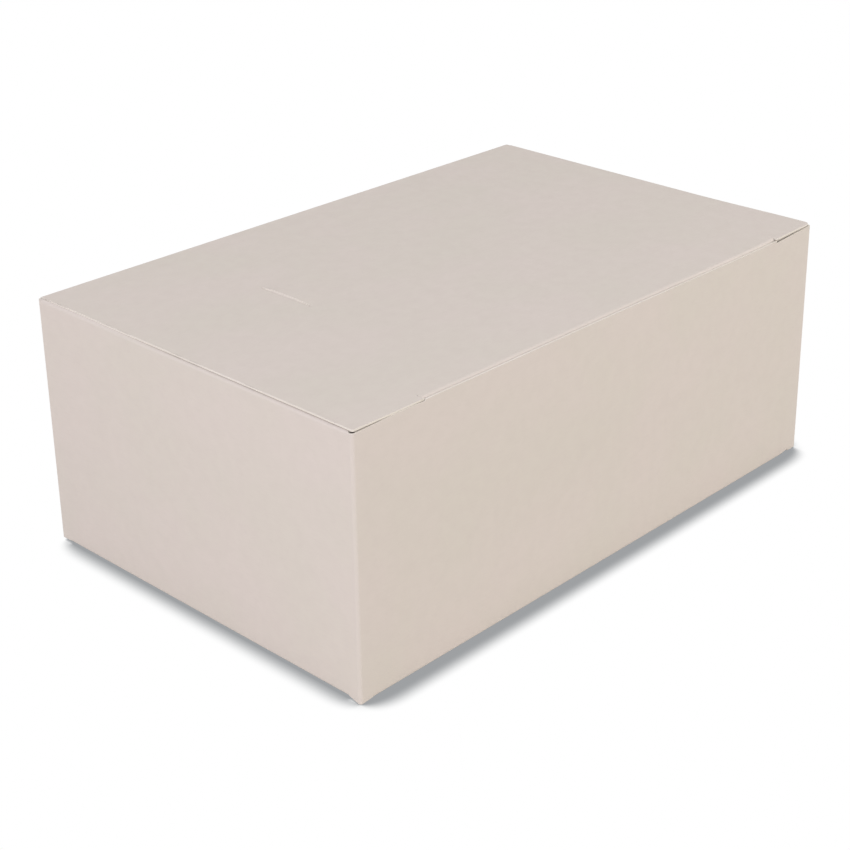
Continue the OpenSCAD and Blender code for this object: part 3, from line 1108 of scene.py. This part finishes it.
def make_camera():
    data = bpy.data.cameras.new("camera")
    data.lens = LENS
    data.sensor_width = 36
    data.shift_x, data.shift_y = CAMERA_SHIFT
    camera = bpy.data.objects.new("camera", data)
    camera.location = CAMERA_AT
    level = math.cos(CAMERA_ELEVATION)
    ahead = Vector((
        level * math.sin(CAMERA_AZIMUTH),
        level * math.cos(CAMERA_AZIMUTH),
        -math.sin(CAMERA_ELEVATION),
    ))
    camera.rotation_euler = ahead.to_track_quat("-Z", "Y").to_euler()
    bpy.context.scene.collection.objects.link(camera)
    bpy.context.scene.camera = camera


def make_lamp(name, azimuth, power, colour):
    """A soft square lamp that faces the box. Azimuth 0 is in front of it and 90 on its right."""
    data = bpy.data.lights.new(name, "AREA")
    data.shape = "SQUARE"
    data.size = LAMP_SIZE
    data.energy = power
    data.color = colour
    lamp = bpy.data.objects.new(name, data)
    a, e = math.radians(azimuth), math.radians(LAMP_ELEVATION)
    away = Vector((math.sin(a) * math.cos(e), -math.cos(a) * math.cos(e), math.sin(e)))
    lamp.location = away * LAMP_DISTANCE
    lamp.rotation_euler = (-away).to_track_quat("-Z", "Y").to_euler()
    bpy.context.scene.collection.objects.link(lamp)


def white_to_camera(n):
    """1 where the camera, a reflection or glass sees the surface, and 0 where it lights others."""
    path = n.add("ShaderNodeLightPath")
    seen = n.math("MAXIMUM", path.outputs["Is Camera Ray"], path.outputs["Is Glossy Ray"])
    return n.math("MAXIMUM", seen, path.outputs["Is Transmission Ray"])


def make_world():
    world = bpy.data.worlds.new("studio")
    world.use_nodes = True
    bpy.context.scene.world = world
    n = Nodes(world.node_tree)
    light = n.add("ShaderNodeBackground", {"Color": (*WORLD_COLOUR, 1), "Strength": WORLD_STRENGTH})
    white = n.add("ShaderNodeBackground", {"Color": (1, 1, 1, 1), "Strength": 1.0})
    choice = {0: white_to_camera(n), 1: light.outputs[0], 2: white.outputs[0]}
    mixed = n.add("ShaderNodeMixShader", choice)
    n.add("ShaderNodeOutputWorld", {"Surface": mixed.outputs[0]})


def make_floor():
    """A white floor that shows as white except for a painted shadow round the box, drawn from
    ambient occlusion.
    """
    mesh = bpy.data.meshes.new("floor")
    corners = [(x * FLOOR_HALF, y * FLOOR_HALF, 0) for x, y in ((-1, -1), (1, -1), (1, 1), (-1, 1))]
    mesh.from_pydata(corners, [], [(0, 1, 2, 3)])
    floor = bpy.data.objects.new("floor", mesh)
    bpy.context.scene.collection.objects.link(floor)
    material = bpy.data.materials.new("floor")
    material.use_nodes = True
    n = Nodes(material.node_tree)
    # Painted shadow: a tilted ambient occlusion, ranged, darkens the white that the camera sees
    # towards SHADE_TONE near the box
    tilt = n.add("ShaderNodeCombineXYZ", dict(enumerate(SHADE_TILT))).outputs[0]
    tilt = n.add("ShaderNodeVectorMath", {0: tilt}, operation="NORMALIZE").outputs[0]
    reach = {"Distance": SHADE_REACH, "Normal": tilt}
    open_sky = n.add("ShaderNodeAmbientOcclusion", reach, samples=SHADE_SAMPLES).outputs["AO"]
    ranged = {0: open_sky, 1: SHADE_OPEN[0], 2: SHADE_OPEN[1]}
    shade = n.add("ShaderNodeMapRange", ranged, interpolation_type="SMOOTHSTEP").outputs[0]
    paint = n.add("ShaderNodeBsdfDiffuse", {"Color": FLOOR_PAINT})
    glow = n.add("ShaderNodeEmission", {"Color": n.mixed(shade, SHADE_TONE, (1, 1, 1, 1))})
    choice = {0: white_to_camera(n), 1: paint.outputs[0], 2: glow.outputs[0]}
    shown = n.add("ShaderNodeMixShader", choice)
    n.add("ShaderNodeOutputMaterial", {"Surface": shown.outputs[0]})
    mesh.materials.append(material)


def make_stage():
    bpy.context.scene.view_settings.view_transform = "Standard"
    make_camera()
    make_world()
    make_lamp("key", azimuth=-75, power=5.35, colour=(1.0, 0.995, 1.08))
    make_lamp("fill", azimuth=32, power=4.2, colour=(1.0, 0.97, 0.91))
    make_floor()


build_carton()
build_lid()
make_stage()
